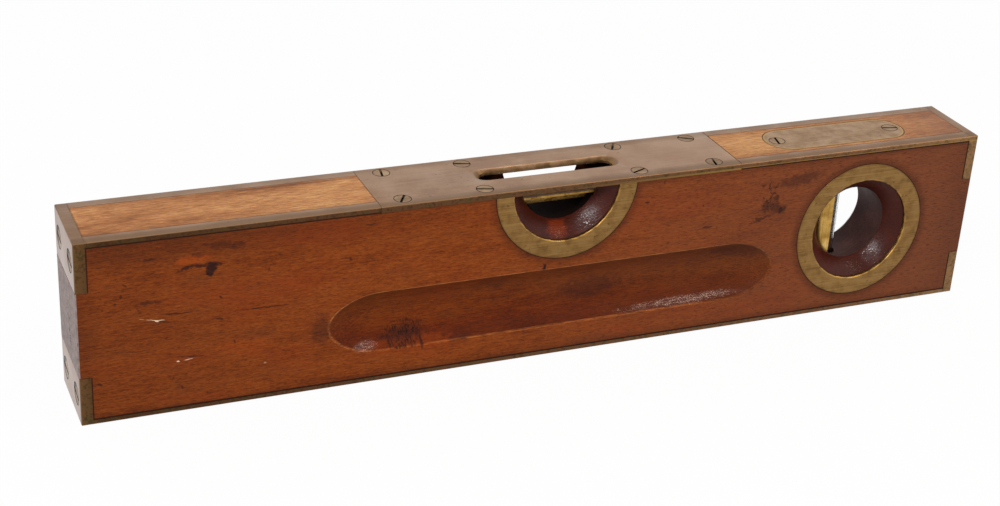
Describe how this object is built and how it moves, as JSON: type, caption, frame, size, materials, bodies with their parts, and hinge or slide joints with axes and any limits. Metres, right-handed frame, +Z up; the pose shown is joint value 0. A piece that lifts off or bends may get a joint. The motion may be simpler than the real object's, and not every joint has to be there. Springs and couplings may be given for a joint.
{
  "type": "plumb and level",
  "caption": "Brass-bound hardwood plumb and level with a hung level vial under a slotted top plate, a plumb vial across a round sight, hand grooves and screwed end tips.",
  "frame": {"origin": "centre of the sole, on the surface that the level stands on", "axes": "+X along the stock towards the plumb sight, +Y across it to the back face, +Z up to the top plate"},
  "size_m": [0.3048, 0.028, 0.0596],
  "materials": {
    "stock_wood": "satin",
    "binding_brass": "dulled",
    "screw_brass": "dulled",
    "ring_brass": "scratched satin",
    "cover_brass": "satin",
    "case_brass": "bright lacquered",
    "spring_steel": "drawn",
    "vial_glass": "clear",
    "spirit": "clear",
    "air_bubble": "clear",
    "plaster": "matt"
  },
  "bodies": {
    "level": {"stock": "stock_wood", "top_plate": "binding_brass", "plate_screws": "screw_brass", "case_screws": "screw_brass", "top_strip_front_left": "binding_brass", "top_strip_front_right": "binding_brass", "top_strip_back_left": "binding_brass", "top_strip_back_right": "binding_brass", "sole_strip_front": "binding_brass", "sole_strip_back": "binding_brass", "tip_left_top": "binding_brass", "tip_left_bottom": "binding_brass", "tip_right_top": "binding_brass", "tip_right_bottom": "binding_brass", "tip_screws": "screw_brass", "level_ring_front": "ring_brass", "level_ring_back": "ring_brass", "plumb_ring_front": "ring_brass", "plumb_ring_back": "ring_brass", "rocker_blocks": "case_brass", "adjusting_springs": "spring_steel", "plumb_cover": "cover_brass", "cover_screws": "screw_brass", "plumb_case": "case_brass", "plumb_glass": "vial_glass", "plumb_packing": "plaster", "plumb_spirit": "spirit"},
    "hung_case": {"level_case": "case_brass", "level_glass": "vial_glass", "level_packing": "plaster", "level_spirit": "spirit"},
    "front_adjuster": {"adjusting_screw_front": "screw_brass"},
    "back_adjuster": {"adjusting_screw_back": "screw_brass"},
    "level_air": {"level_bubble": "air_bubble"},
    "plumb_air": {"plumb_bubble": "air_bubble"}
  },
  "joints": [
    {"name": "case_tilt", "type": "hinge", "parent": "level", "child": "hung_case", "pos_m": [-0.0263, 0, 0.0539], "axis": [0, -1, 0], "range_deg": [-0.34, 0.34], "deforming": ["adjusting_springs"]},
    {"name": "front_adjuster_turn", "type": "hinge", "parent": "level", "child": "front_adjuster", "pos_m": [0.0263, -0.0099, 0.0596], "axis": [0, 0, -1], "range_deg": [-180, 180]},
    {"name": "back_adjuster_turn", "type": "hinge", "parent": "level", "child": "back_adjuster", "pos_m": [0.0263, 0.0099, 0.0596], "axis": [0, 0, -1], "range_deg": [-180, 180]},
    {"name": "level_bubble_run", "type": "slide", "parent": "hung_case", "child": "level_air", "axis": [1, 0, 0], "range_m": [-0.012, 0.012], "stiffness_N_per_m": 0.5},
    {"name": "plumb_bubble_run", "type": "slide", "parent": "level", "child": "plumb_air", "axis": [0, 0, 1], "range_m": [-0.024, 0], "stiffness_N_per_m": 1, "springref_m": 0.012}
  ],
  "couplings": [
    {"joint": "front_adjuster_turn", "follows": "case_tilt", "ratio": 520.46},
    {"joint": "back_adjuster_turn", "follows": "case_tilt", "ratio": 520.46}
  ]
}
